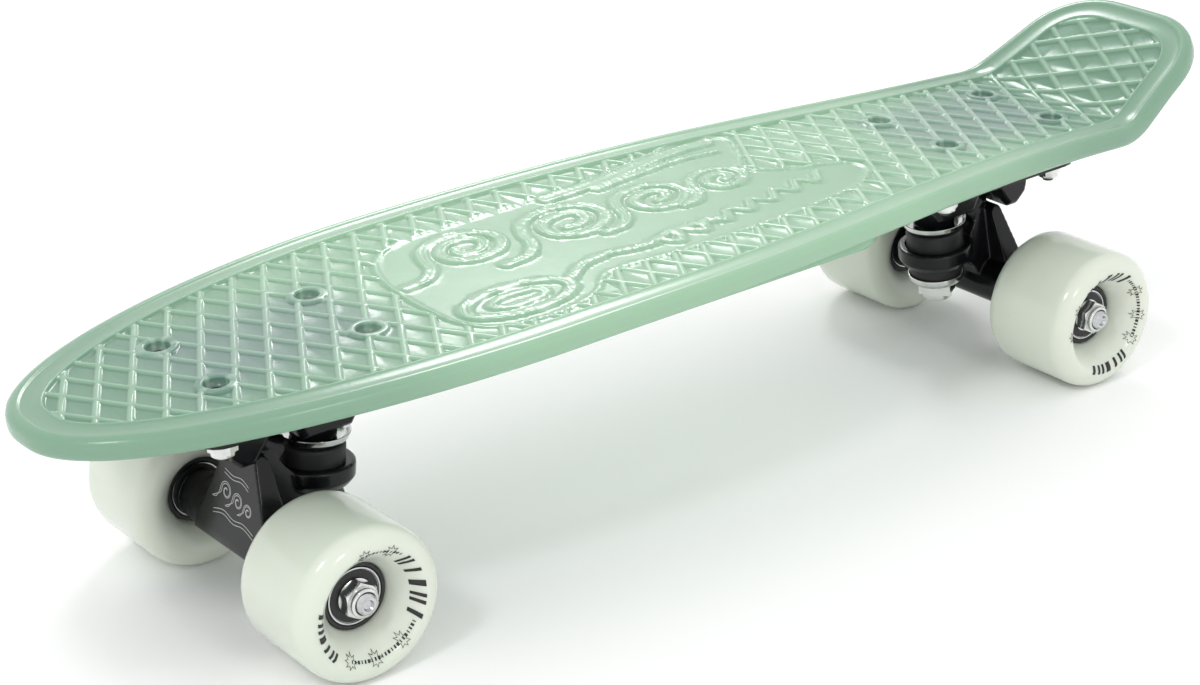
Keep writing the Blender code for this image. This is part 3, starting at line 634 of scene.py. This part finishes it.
def makeDeck():
    bm = bmesh.new()
    # crest: a vertex layer that carries the painted highlight on raised parts
    crest = bm.verts.layers.float.new("crest")
    outer, inner = insetOutline(deckOutline(), deckShape["border"])
    edges = addLoop(bm, inner)
    for x, y in boltSpots:
        edges += addLoop(bm, roundedLoop(x, y, 8.2 * mm, 8.2 * mm, 8.2 * mm, 7))
    fillLoops(bm, edges)
    geometry = cutRibs(bm, partsOf(bm.faces), deckShape["ribPitch"], deckShape["ribCuts"])
    kickX = deckShape["kick"][0]
    geometry = cutAlong(bm, geometry, (0, 1), [kickX + k * 1.8 * mm for k in range(10)])

    loop = smoothLine(panel["outline"], True, 6) * mm
    faces = [f for f in bm.faces]
    middle = np.array([f.calc_center_median()[:2] for f in faces])
    chosen = [f for f, d in zip(faces, signedDistance(middle, loop)) if d < 4 * mm]
    geometry = partsOf(chosen)
    reach = 0.15
    step = deckShape["panelCut"]
    for dx, dy in ribDirections():
        places = np.arange(-reach, reach, step) + 0.1 * mm
        geometry = cutAlong(bm, geometry, (dx, dy), places)
    bmesh.ops.remove_doubles(bm, verts=bm.verts, dist=0.05 * mm)

    verts = bm.verts[:]
    points = flat(verts)
    inside = signedDistance(points, loop)
    ribs = ribHeight(points, deckShape["ribPitch"], deckShape["ribProfile"])
    fade = np.clip((inside - 0.3 * mm) / (1.6 * mm), 0, 1)
    ribs *= fade * fade * (3 - 2 * fade)
    height = deckShape["floor"] + deckShape["ribRise"] * ribs
    near = inside < 3 * mm
    mix = np.clip((2.2 * mm - inside[near]) / (1.8 * mm), 0, 1)
    height[near] = np.maximum(height[near], deckShape["floor"] * (1 - mix)
                              + panelHeight(points[near], inside[near]) * mix)
    # each point's rise goes into the crest layer, which the material paints as a highlight
    rise = np.where(inside < 0, 0.5 * (height - panel["level"]) / (1.3 * mm), ribs)
    for vert, h, r in zip(verts, height, rise):
        vert.co.z = h
        vert[crest] = r
    pattern = [v for v, d in zip(verts, inside) if d < 1.2 * mm]
    for _ in range(2):
        bmesh.ops.smooth_vert(bm, verts=pattern, factor=0.5, use_axis_x=False, use_axis_y=False,
                              use_axis_z=True)

    field = {v for v, d in zip(verts, inside) if d > 2.4 * mm and v.co.x < kickX - 2 * mm}
    joined = [e for e in bm.edges if e.verts[0] in field and e.verts[1] in field and not e.is_boundary]
    bmesh.ops.dissolve_limit(bm, angle_limit=radians(0.3), use_dissolve_boundaries=False,
                             verts=[], edges=joined, delimit=set())

    for x, y in boltSpots:
        ring = edgesNear(bm, lambda p: (p.x - x) ** 2 + (p.y - y) ** 2 < (8.6 * mm) ** 2)
        guide = {v: (Vector((v.co.x - x, v.co.y - y)).normalized()) for e in ring for v in e.verts}
        for radius, h in ringProfile:
            ring = growRing(bm, ring, guide, lambda g: (x + g.x * radius * mm, y + g.y * radius * mm, h * mm))
        bmesh.ops.edgeloop_fill(bm, edges=ring)

    rim = edgesNear(bm, lambda p: p.z > 2 * mm)
    guide = {}
    run, start = np.roll(inner, -1, 0) - inner, inner
    for vert in {v for e in rim for v in e.verts}:
        point = np.array(vert.co[:2])
        t = np.clip(((point - start) * run).sum(1) / (run * run).sum(1), 0, 1)
        best = int(np.argmin(np.linalg.norm(start + run * t[:, None] - point, axis=1)))
        edge = outer[best] * (1 - t[best]) + outer[(best + 1) % len(outer)] * t[best]
        guide[vert] = (edge, point - edge)
    border = deckShape["border"]
    for inset, h in rimProfile:
        share = inset * mm / border
        rim = growRing(bm, rim, guide, lambda g: (*(g[0] + g[1] * share), h * mm))
        # the rim's top gets half the painted crest highlight
        if h > 4.25:
            for vert in {v for e in rim for v in e.verts}:
                vert[crest] = 0.5

    # underside: pads, the deeper middle and the ribs between them
    floorHeight, bottom = deckShape["undersideFloor"], deckShape["undersideBottom"]
    loops = [(truckX, 0.0, 47 * mm, 34 * mm, 11 * mm) for truckX in truckPlaces.values()]
    belly = (-14.5 * mm, 0.0, 90 * mm, 62.5 * mm, 26 * mm)
    edges = list(rim)
    for spec in loops + [belly]:
        edges += addLoop(bm, roundedLoop(*spec))
    for edge in edges:
        for vert in edge.verts:
            vert.co.z = floorHeight
    cutUnderside(bm, fillLoops(bm, edges), floorHeight, bottom)
    levels = {}
    for x, y, halfX, halfY, radius in loops:
        ring, guide = roundedEdges(bm, x, y, halfX, halfY, radius)
        for inset, h in ((0.9, -1.4), (1.0, -2.2)):
            ring = growRing(bm, ring, guide, lambda g: onLoop(g, inset * mm, h * mm))
        for inset, z in ((1.0, 89.6), (1.2, 89.1), (1.8, 88.8)):
            ring = growRing(bm, ring, guide, lambda g: onLoop(g, inset * mm, -10 * mm))
            for vert in {v for e in ring for v in e.verts}:
                levels[vert] = z * mm
        fillLoops(bm, ring)
    ring, guide = roundedEdges(bm, *belly)
    bellyWall = ((0.9, -1.4), (1.0, -4.5), (1.3, -9.6), (1.9, -10.9),
                 (3.0, -11.5), (9.0, -11.5), (9.8, -7.6))
    for inset, h in bellyWall:
        ring = growRing(bm, ring, guide, lambda g: onLoop(g, inset * mm, h * mm))
    cutUnderside(bm, fillLoops(bm, ring), -7.6 * mm, -11.5 * mm)

    bendDeck(bm.verts)
    for vert, z in levels.items():
        vert.co.z = z
    bmesh.ops.dissolve_degenerate(bm, dist=0.02 * mm, edges=bm.edges)
    bm.normal_update()
    deck = addPiece("deck_moulding", bm, "mint", "board", ["deck"], 0)
    weighted = deck.modifiers.new("flat faces", "WEIGHTED_NORMAL")
    weighted.keep_sharp = True
    print("  deck faces", len(deck.data.polygons))
    return deck


def cutUnderside(bm, faces, floorHeight, bottom):
    geometry = cutRibs(bm, partsOf(faces), deckShape["undersidePitch"], (1.0 * mm, 1.35 * mm))
    verts = [g for g in geometry if isinstance(g, bmesh.types.BMVert)]
    rise = ribHeight(flat(verts), deckShape["undersidePitch"], ((0, 1.02 * mm, 1.33 * mm), (1, 1, 0)))
    for vert, r in zip(verts, rise):
        vert.co.z = floorHeight + (bottom - floorHeight) * r


def roundedEdges(bm, x, y, halfX, halfY, radius):
    ring = edgesNear(bm, lambda p: abs(p.x - x) < halfX + mm and abs(p.y - y) < halfY + mm)
    guide = {}
    for vert in {v for e in ring for v in e.verts}:
        core = Vector((min(max(vert.co.x, x - halfX + radius), x + halfX - radius),
                       min(max(vert.co.y, y - halfY + radius), y + halfY - radius)))
        guide[vert] = (core, (vert.co.xy - core).normalized(), radius)
    return ring, guide


def onLoop(guide, inset, height):
    core, direction, radius = guide
    spot = core + direction * (radius - inset)
    return (spot.x, spot.y, height)


makeDeck()

print("turned parts")


def spun(profile, steps=64, closed=True, place=None, into=None):
    # turns a (radius, height) profile in mm about Z
    bm = into or bmesh.new()
    verts = [bm.verts.new((r * mm, 0, h * mm)) for r, h in profile]
    edges = [bm.edges.new(pair) for pair in zip(verts, verts[1:])]
    if closed:
        edges.append(bm.edges.new((verts[-1], verts[0])))
    made = bmesh.ops.spin(bm, geom=verts + edges, cent=(0, 0, 0), axis=(0, 0, 1),
                          angle=tau, steps=steps, use_merge=True)
    bmesh.ops.remove_doubles(bm, verts=bm.verts, dist=1e-6)
    if place:
        bm.transform(place)
    return bm


def softened(profile, radius, steps=3, closed=True):
    # the same profile with its corners rounded, as far as each side's length allows
    points = [Vector(p) for p in profile]
    count = len(points)
    soft = []
    for i, corner in enumerate(points):
        if not closed and i in (0, count - 1):
            soft.append(tuple(corner))
            continue
        before, after = points[i - 1] - corner, points[(i + 1) % count] - corner
        reach = min(radius, before.length * 0.45, after.length * 0.45)
        start, end = corner + before.normalized() * reach, corner + after.normalized() * reach
        for k in range(steps + 1):
            t = k / steps
            soft.append(tuple(start * (1 - t) ** 2 + corner * (2 * t * (1 - t)) + end * t * t))
    return soft


def hexNut(flats, low, high, collarRadius, collarEnd, bore, place, chamfer=0.9):
    # a chamfered hexagon with a round collar beyond its high face, in mm along Z
    corner = flats / 2 / cos(pi / 6)
    bm = spun(softened([(bore, low), (corner - chamfer, low), (corner, low + chamfer * 0.6),
                        (corner, high - chamfer * 0.6), (corner - chamfer, high), (bore, high)], 0.08, 2), 72)
    for side in range(6):
        angle = side * pi / 3
        normal = Vector((cos(angle), sin(angle), 0))
        cut = bmesh.ops.bisect_plane(bm, geom=bm.verts[:] + bm.edges[:] + bm.faces[:], dist=1e-7,
                                     plane_co=normal * flats / 2 * mm, plane_no=normal, clear_outer=True)
        rim = [g for g in cut["geom_cut"] if isinstance(g, bmesh.types.BMEdge)]
        bmesh.ops.edgeloop_fill(bm, edges=rim)
    step = 0.05 if collarEnd > high else -0.05
    root = high - step * 10
    collar = [(bore, root), (collarRadius, root), (collarRadius, collarEnd - step * 6),
              (collarRadius - 0.9, collarEnd), (bore + 0.3, collarEnd), (bore, collarEnd - step * 4)]
    spun(softened(collar, 0.3, 3), 48, True, None, bm)
    bm.transform(place)
    return bm


print("trucks")
truckLook = {
    "kingpinLean": radians(5.5),
    "remesh": 0.55 * mm,
    "barrel": ((0, -41), (8.9, -41), (10.0, -40), (10.4, -38.6), (10.5, -31), (10.1, -29.6), (10.1, 29.6),
               (10.5, 31), (10.4, 38.6), (10.0, 40), (8.9, 41), (0, 41)),
    "plate": ((13.4, 63.6), (21.0, 27.4), (20.4, 23.6), (16.0, 21.2), (7.4, 24.0), (7.6, 62.0), (10.0, 64.6)),
    "web": ((12.0, 61.0), (14.0, 30.0), (5.0, 24.0), (-3.0, 41.4), (-15.0, 42.4), (-15.0, 50.2), (-4.0, 51.2),
            (0.5, 57.0), (4.5, 63.4)),
    "topBushing": ((5.2, 1.8), (12.1, 1.8), (12.4, 3.0), (12.4, 10.2), (12.0, 11.4), (5.2, 11.4)),
    "bottomBushing": ((5.2, -12.0), (10.4, -12.0), (11.5, -9.2), (11.7, -5.0), (11.2, -1.8), (5.2, -1.8)),
    "bushingBends": {"top": (10.4, 2.8), "bottom": (-11.0, -2.8)},
    "ring": ((0, -4.6), (14.0, -4.6), (16.2, -1.6), (16.2, 3.6), (15.6, 4.2), (0, 4.2)),
    "nose": ((0, 20), (6.4, 20), (5.9, 30), (4.5, 32.5), (4.5, 39.8), (3.0, 42.0), (0, 42.2)),
    "seats": ((0, -30), (13.4, -30), (12.5, -5), (12.5, -1.5), (7.5, -1.5), (7.5, 1.5), (13.2, 1.5),
              (13.2, 12), (0, 12)),
}


def sidePrism(outline, halfWidth, narrow=None):
    # extrudes an (x, z) outline in mm across the truck; narrow leans its two sides
    bm = bmesh.new()
    face = bm.faces.new([bm.verts.new((x * mm, -halfWidth * mm, z * mm)) for x, z in outline])
    made = bmesh.ops.extrude_face_region(bm, geom=[face])["geom"]
    bmesh.ops.translate(bm, vec=(0, 2 * halfWidth * mm, 0),
                        verts=[g for g in made if isinstance(g, bmesh.types.BMVert)])
    if narrow:
        (lowY, lowZ), (highY, highZ) = narrow
        for side in (-1, 1):
            normal = Vector((0, (highZ - lowZ) * side, lowY - highY)).normalized()
            cut = bmesh.ops.bisect_plane(bm, geom=bm.verts[:] + bm.edges[:] + bm.faces[:], dist=1e-7,
                                         plane_co=(0, side * lowY * mm, lowZ * mm), plane_no=normal,
                                         clear_outer=True)
            rim = [g for g in cut["geom_cut"] if isinstance(g, bmesh.types.BMEdge)]
            bmesh.ops.edgeloop_fill(bm, edges=rim)
    bmesh.ops.recalc_face_normals(bm, faces=bm.faces)
    return bm


def merge(target, source):
    mesh = bpy.data.meshes.new("joined")
    source.to_mesh(mesh)
    source.free()
    target.from_mesh(mesh)
    bpy.data.meshes.remove(mesh)


def castShape(name, bm, voxel, rounds):
    # one skin over overlapping solids, its edges softened as a casting's are
    bmesh.ops.recalc_face_normals(bm, faces=bm.faces)
    mesh = bpy.data.meshes.new(name)
    bm.to_mesh(mesh)
    bm.free()
    rough = bpy.data.objects.new(name, mesh)
    bpy.context.scene.collection.objects.link(rough)
    skin = rough.modifiers.new("skin", "REMESH")
    skin.mode = "VOXEL"
    skin.voxel_size = voxel
    soft = rough.modifiers.new("soft", "SMOOTH")
    soft.factor = 0.5
    soft.iterations = rounds
    bpy.context.view_layer.update()
    evaluated = rough.evaluated_get(bpy.context.evaluated_depsgraph_get())
    done = bmesh.new()
    done.from_mesh(evaluated.to_mesh())
    bpy.data.objects.remove(rough)
    return done


def cutWith(bm, cutter):
    # takes a turned cutter out of a closed skin
    made = []
    for source in (bm, cutter):
        bmesh.ops.recalc_face_normals(source, faces=source.faces)
        mesh = bpy.data.meshes.new("cut")
        source.to_mesh(mesh)
        source.free()
        obj = bpy.data.objects.new("cut", mesh)
        bpy.context.scene.collection.objects.link(obj)
        made.append(obj)
    difference = made[0].modifiers.new("cut", "BOOLEAN")
    difference.object = made[1]
    difference.operation = "DIFFERENCE"
    difference.solver = "EXACT"
    bpy.context.view_layer.update()
    done = bmesh.new()
    done.from_mesh(made[0].evaluated_get(bpy.context.evaluated_depsgraph_get()).to_mesh())
    for obj in made:
        bpy.data.objects.remove(obj)
    return done


def wires(lines, radius, place):
    # thin raised lines along 3-D paths, given in mm
    curve = bpy.data.curves.new("lines", "CURVE")
    curve.dimensions = "3D"
    curve.bevel_depth = radius * mm
    curve.bevel_resolution = 1
    curve.use_fill_caps = True
    for points, closed in lines:
        spline = curve.splines.new("POLY")
        spline.points.add(len(points) - 1)
        for point, spot in zip(spline.points, points):
            point.co = (*(c * mm for c in spot), 1)
        spline.use_cyclic_u = closed
    obj = bpy.data.objects.new("lines", curve)
    bpy.context.scene.collection.objects.link(obj)
    bpy.context.view_layer.update()
    bm = bmesh.new()
    bm.from_mesh(obj.evaluated_get(bpy.context.evaluated_depsgraph_get()).to_mesh())
    bpy.data.objects.remove(obj)
    bm.transform(place)
    return bm


def emblemLines():
    # a running scroll of three waves between two long ripples
    lines = []
    for x, y, size in ((-6.5, 1.6, 4.0), (1.8, 0.2, 3.6), (9.0, -1.0, 3.0)):
        for shrink in (1.0, 0.78):
            line = [(x - 2.3 * size, y - 1.15 * size), (x - 1.6 * size, y - 1.0 * size * shrink),
                    (x - 1.15 * size * shrink, y - 0.35 * size)]
            for i in range(14):
                angle = radians(155) - radians(36) * i
                reach = size * shrink * (1 - 0.06 * i)
                line.append((x + reach * cos(angle), y + reach * sin(angle)))
            lines.append((smoothLine(line, False, 3), False))
    for lift in (0.0, 1.5):
        lines.append((smoothLine([(-14, -7.6 - lift), (-7, -6.0 - lift), (0, -7.4 - lift), (7, -6.6 - lift),
                                  (14, -8.4 - lift)], False, 5), False))
        lines.append((smoothLine([(-9, 8.4 + lift), (-3, 7.4 + lift), (3, 8.2 + lift), (8, 6.6 + lift)],
                                 False, 5), False))
    return lines


for joint in frame["joints"]:
    if not joint["name"].endswith("truck_steer"):
        continue
    prefix = joint["name"].replace("truck_steer", "")
    turned = Matrix.Rotation(pi if prefix == "front_" else 0, 4, "Z")
    seat = Matrix.Translation(joint["pos_m"]) @ turned
    kingpin = seat @ Matrix.Rotation(-truckLook["kingpinLean"], 4, "Y")
    steering = seat @ Matrix.Rotation(acos(joint["axis"][2]), 4, "Y")
    truck = Matrix.Translation((truckPlaces[prefix], 0, 0)) @ turned
    low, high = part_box(prefix + "axle")
    axle = Matrix.Translation((low + high) / 2) @ Matrix.Rotation(pi / 2, 4, "X")
    hangerBody = prefix + "hanger"

    hanger = sidePrism(softened(truckLook["plate"], 1.6), 30, ((24.0, 33.0), (9.6, 64.0)))
    merge(hanger, sidePrism(softened(truckLook["web"], 7.0, 6), 11, ((10.5, 40.0), (6.0, 64.0))))
    hanger.transform(truck)
    merge(hanger, spun(truckLook["barrel"], 64, False, axle))
    merge(hanger, spun(truckLook["ring"], 64, False, kingpin))
    merge(hanger, spun(truckLook["nose"], 48, False, steering))
    hanger = castShape("hanger", hanger, truckLook["remesh"], 4)
    hanger = cutWith(hanger, spun(truckLook["seats"], 64, False, kingpin))
    addPiece(prefix + "hanger_casting", hanger, "paint", hangerBody, [prefix + "hanger"], 50)

    # the emblem lies on the sloping outboard plate
    (topX, topZ), (lowX, lowZ) = truckLook["plate"][:2]
    slope = Vector((lowX - topX, 0, lowZ - topZ)).normalized()
    across = Vector((0, 1, 0))
    middle = Vector(((topX + lowX) / 2, 0, (topZ + lowZ) / 2 - 1.5)) * mm + Vector((0.10, 0, 0)) * mm
    facing = Matrix((across, -slope, across.cross(-slope))).transposed().to_4x4()
    emblem = wires([([(x, y, 0.0) for x, y in line], closed) for line, closed in emblemLines()], 0.26,
                   truck @ Matrix.Translation(middle) @ facing)
    addPiece(prefix + "hanger_emblem", emblem, "silver", hangerBody, (), 0)

    addPiece(prefix + "top_washer_dish", spun(softened(
        [(5.2, 11.8), (11.2, 11.8), (13.2, 13.2), (14.4, 16.0), (13.9, 16.2), (12.6, 14.0), (10.8, 13.2),
         (5.2, 13.2)], 0.5), 72, True, kingpin), "zinc", "board", [prefix + "top_washer"])
    addPiece(prefix + "bottom_washer_cup", spun(softened(
        [(5.2, -13.7), (10.6, -13.7), (12.0, -12.2), (12.4, -9.7), (11.9, -9.6), (11.3, -11.5), (10.4, -12.3),
         (5.2, -12.3)], 0.4), 72, True, kingpin), "zinc", "board", [prefix + "bottom_washer"])
    for part, ends in truckLook["bushingBends"].items():
        ring = spun(softened(truckLook[part + "Bushing"], 0.7), 72, True, kingpin)
        bushing = addPiece(prefix + part + "_bushing_ring", ring, "urethane", None,
                           [prefix + part + "_bushing"])
        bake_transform(bushing)
    nut = hexNut(flats=14.3, low=-14.0, high=-19.4, collarRadius=6.6, collarEnd=-22.0, bore=4.9,
                 place=kingpin)
    addPiece(prefix + "kingpin_lock_nut", nut, "zinc", "board", [prefix + "kingpin_nut"], 30)

    # baseplate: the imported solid's shape with the soft edges of a casting
    base = bmesh.new()
    base.from_mesh(frame["nodes"][prefix + "baseplate"].data)
    bmesh.ops.remove_doubles(base, verts=base.verts, dist=1e-5)
    base = castShape("baseplate", base, 0.6 * mm, 3)
    addPiece(prefix + "baseplate_casting", base, "paint", "board", [prefix + "baseplate"], 0)

print("mounting bolts and nuts")
for node in sorted(frame["nodes"]):
    low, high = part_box(node)
    spot = Vector(((low.x + high.x) / 2, (low.y + high.y) / 2, 0))
    if "mounting_bolt" in node:
        seatZ, topZ = (high.z - 2.7 * mm) / mm, high.z / mm
        bolt = spun(softened([(0, low.z / mm), (2.3, low.z / mm), (2.4, low.z / mm + 0.4), (2.4, seatZ),
                              (4.1, seatZ), (4.1, topZ - 0.9), (3.2, topZ), (1.9, topZ), (1.5, topZ - 1.3),
                              (0, topZ - 1.5)], 0.25, 2, False), 40, False, Matrix.Translation(spot))
        addPiece(node + "_screw", bolt, "darkSteel", "board", [node], 30)
    elif "mounting_nut" in node:
        topZ = high.z / mm
        nut = hexNut(9.5, topZ, topZ - 4.4, 4.5, low.z / mm, 2.7, Matrix.Translation(spot), 0.7)
        addPiece(node + "_lock", nut, "zinc", "board", [node], 30)

print("wheels")
wheelLook = {
    "turn": {"front_left": radians(4), "rear_left": radians(88), "front_right": radians(140),
             "rear_right": radians(-60)},
    "halfWidth": 22.3,
    "radius": 30.0,
    "lip": 7.0,
    "starRing": 20.4,
}


def tyreProfile():
    half, radius, lip = wheelLook["halfWidth"], wheelLook["radius"], wheelLook["lip"]
    face = [(13.1, 9.9), (13.3, 11.0), (14.2, 12.6), (16.0, 15.6), (18.2, 18.6), (20.4, 20.9), (21.8, 22.0)]
    outer = face + [(radius - lip + lip * sin(a), half - lip + lip * cos(a))
                    for a in np.linspace(0, pi / 2, 9)]
    inner = [(radius - lip + lip * sin(a), -half + lip - lip * cos(a))
             for a in np.linspace(pi / 2, 0, 9)]
    return outer + [(radius, 5.0), (radius, -5.0)] + inner + [(21.4, -22.1), (19.4, -21.0), (17.0, -19.4),
                                                             (14.4, -16.4), (13.1, -14.1)]


def onTyreFace(bm, lift):
    # lays a flat print on the dished face of the tyre
    radii, heights = zip(*tyreProfile()[:12])
    for vert in bm.verts:
        radius = vert.co.xy.length / mm
        vert.co.z = (float(np.interp(radius, radii, heights)) + lift) * mm


def wrap(bm, middleRadius, angle):
    # bends a flat strip, x along the ring and y outwards, round the wheel
    for vert in bm.verts:
        radius = middleRadius * mm + vert.co.y
        turn = angle - vert.co.x / (middleRadius * mm)
        vert.co = (radius * cos(turn), radius * sin(turn), 0)


def slab(width, height, lean):
    bm = bmesh.new()
    bmesh.ops.create_grid(bm, x_segments=3, y_segments=10, size=0.5 * mm)
    for vert in bm.verts:
        vert.co = (vert.co.x * width + vert.co.y * lean, vert.co.y * height, 0)
    return bm


def starPrint(radius, angle, outer, inner, line):
    bm = bmesh.new()
    bmesh.ops.create_circle(bm, cap_ends=False, segments=16, radius=outer * mm)
    for i, vert in enumerate(bm.verts):
        if i % 2:
            vert.co *= inner / outer
    made = bmesh.ops.extrude_edge_only(bm, edges=bm.edges[:])["geom"]
    for vert in (g for g in made if isinstance(g, bmesh.types.BMVert)):
        vert.co *= 1 - line
    bmesh.ops.subdivide_edges(bm, edges=bm.edges[:], cuts=2, use_grid_fill=True)
    wrap(bm, radius, angle)
    return bm


def makePrint():
    bm = bmesh.new()
    # two groups of bold slanted bars
    for start, count, height, middle in ((38, 5, 4.6, 20.0), (212, 5, 3.4, 21.4)):
        for i in range(count):
            wide = (3.2, 1.4, 2.4, 3.6, 1.6)[i % 5]
            for part in ((-0.5, 0.5) if wide > 3 else (0,)):
                piece = slab(wide * (0.36 if part else 1.0), height, 1.1)
                bmesh.ops.translate(piece, verts=piece.verts, vec=(part * wide * mm * 0.7, 0, 0))
                wrap(piece, middle, radians(start - i * (17 if height > 4 else 12)))
                merge(bm, piece)
    for angle in (62, 92, 236, 266, 300):
        middle = wheelLook["starRing"] + (1.0 if angle < 180 else 0)
        merge(bm, starPrint(middle, radians(angle), outer=2.9, inner=1.5, line=0.16))
    # fine dashes between the stars, over the top and round the bottom
    for start, count, middle in ((50, 12, 21.4), (238, 22, wheelLook["starRing"])):
        for i in range(count):
            piece = slab(0.4 + 0.25 * (i % 3), 1.0, 0.1)
            wrap(piece, middle, radians(start + i * 4.0))
            merge(bm, piece)
    onTyreFace(bm, 0.16)
    return bm


for prefix in ("front_left", "front_right", "rear_left", "rear_right"):
    body = prefix + "_wheel"
    axleBody = prefix.split("_")[0] + "_hanger"
    side = -1 if "left" in prefix else 1
    low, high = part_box(body + "_tyre")
    centre = (low + high) / 2
    centre.z = low.z + wheelLook["radius"] * mm
    place = Matrix.Translation(centre) @ Matrix.Rotation(-side * pi / 2, 4, "X")
    spin = place @ Matrix.Rotation(wheelLook["turn"][prefix], 4, "Z")
    addPiece(body + "_tyre_urethane", spun(tyreProfile(), 128, True, place), "milky", body,
             [body + "_tyre"], 60)
    addPiece(body + "_hub_ring", spun(softened(
        [(11.4, 9.9), (12.8, 9.9), (12.8, -14.1), (11.4, -14.1), (11.4, -6.8), (8.5, -6.8), (8.5, 2.6),
         (11.4, 2.6)], 0.25, 2), 72, True, place), "hub", body, [body + "_core"], 40)
    for name, middle, out in (("outer", 6.4, 1), ("inner", -10.6, -1)):
        half = 3.5 * out
        face = middle + half
        addPiece(body + "_" + name + "_bearing_races", spun(softened(
            [(4.35, face), (6.0, face), (6.2, face - 0.5 * out), (10.2, face - 0.5 * out),
             (10.35, face), (11.0, face),
             (11.0, middle - half), (4.35, middle - half)], 0.12, 2), 72, True, place), "steel", body,
            [body + "_" + name + "_bearing"], 40)
        addPiece(body + "_" + name + "_bearing_shield", spun(softened(
            [(6.3, face - 0.6 * out), (6.3, face - 0.2 * out), (9.9, face - 0.12 * out),
             (10.15, face - 0.6 * out)], 0.1, 2), 72, True, place), "hub", body, (), 40)
    addPiece(body + "_print", makePrint(), "ink", body, (), 0)
    inked = bpy.data.objects[body + "_print"]
    inked.data.transform(spin)
    skin = inked.modifiers.new("ink film", "SOLIDIFY")
    skin.thickness = 0.05 * mm
    skin.offset = -1
    nut = hexNut(flats=12.7, low=10.3, high=15.0, collarRadius=5.7, collarEnd=17.2, bore=4.3, place=place)
    addPiece(body + "_lock_nut", nut, "zinc", axleBody, [body + "_axle_nut"], 30)
    washer = softened([(4.4, 9.95), (7.0, 9.95), (7.0, 10.28), (4.4, 10.28)], 0.1, 2)
    addPiece(body + "_speed_washer", spun(washer, 48, True, place), "zinc", axleBody, (), 40)

for prefix in ("front_", "rear_"):
    low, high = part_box(prefix + "axle")
    axle = Matrix.Translation((low + high) / 2) @ Matrix.Rotation(pi / 2, 4, "X")
    half = (high.y - low.y) / 2 / mm
    profile = [(0, 1.4 - half), (1.6, 1.1 - half), (2.2, -half), (3.2, -half)]
    ridges = [(half - 0.8 - 1.0 * i, half - 1.3 - 1.0 * i) for i in range(9)]
    profile += [point for crest, dip in ridges for point in ((3.97, -crest), (3.55, -dip))]
    profile += [(r, -h) for r, h in profile[::-1]]
    addPiece(prefix + "axle_rod", spun(profile, 48, False, axle), "steel", prefix + "hanger",
             [prefix + "axle"], 30)

print("kept solids")
nodeFinishes = {"deck_plastic": "mint", "truck_paint": "paint", "bushing_urethane": "urethane",
                "wheel_urethane": "milky", "hub_plastic": "hub", "zinc_steel": "zinc",
                "bearing_steel": "steel", "axle_steel": "steel"}
for part in frame["record"]["subparts"]:
    node = frame["nodes"][part["node"]]
    node.data.materials.clear()
    node.data.materials.append(finishes[nodeFinishes[part["material_slot"]]])
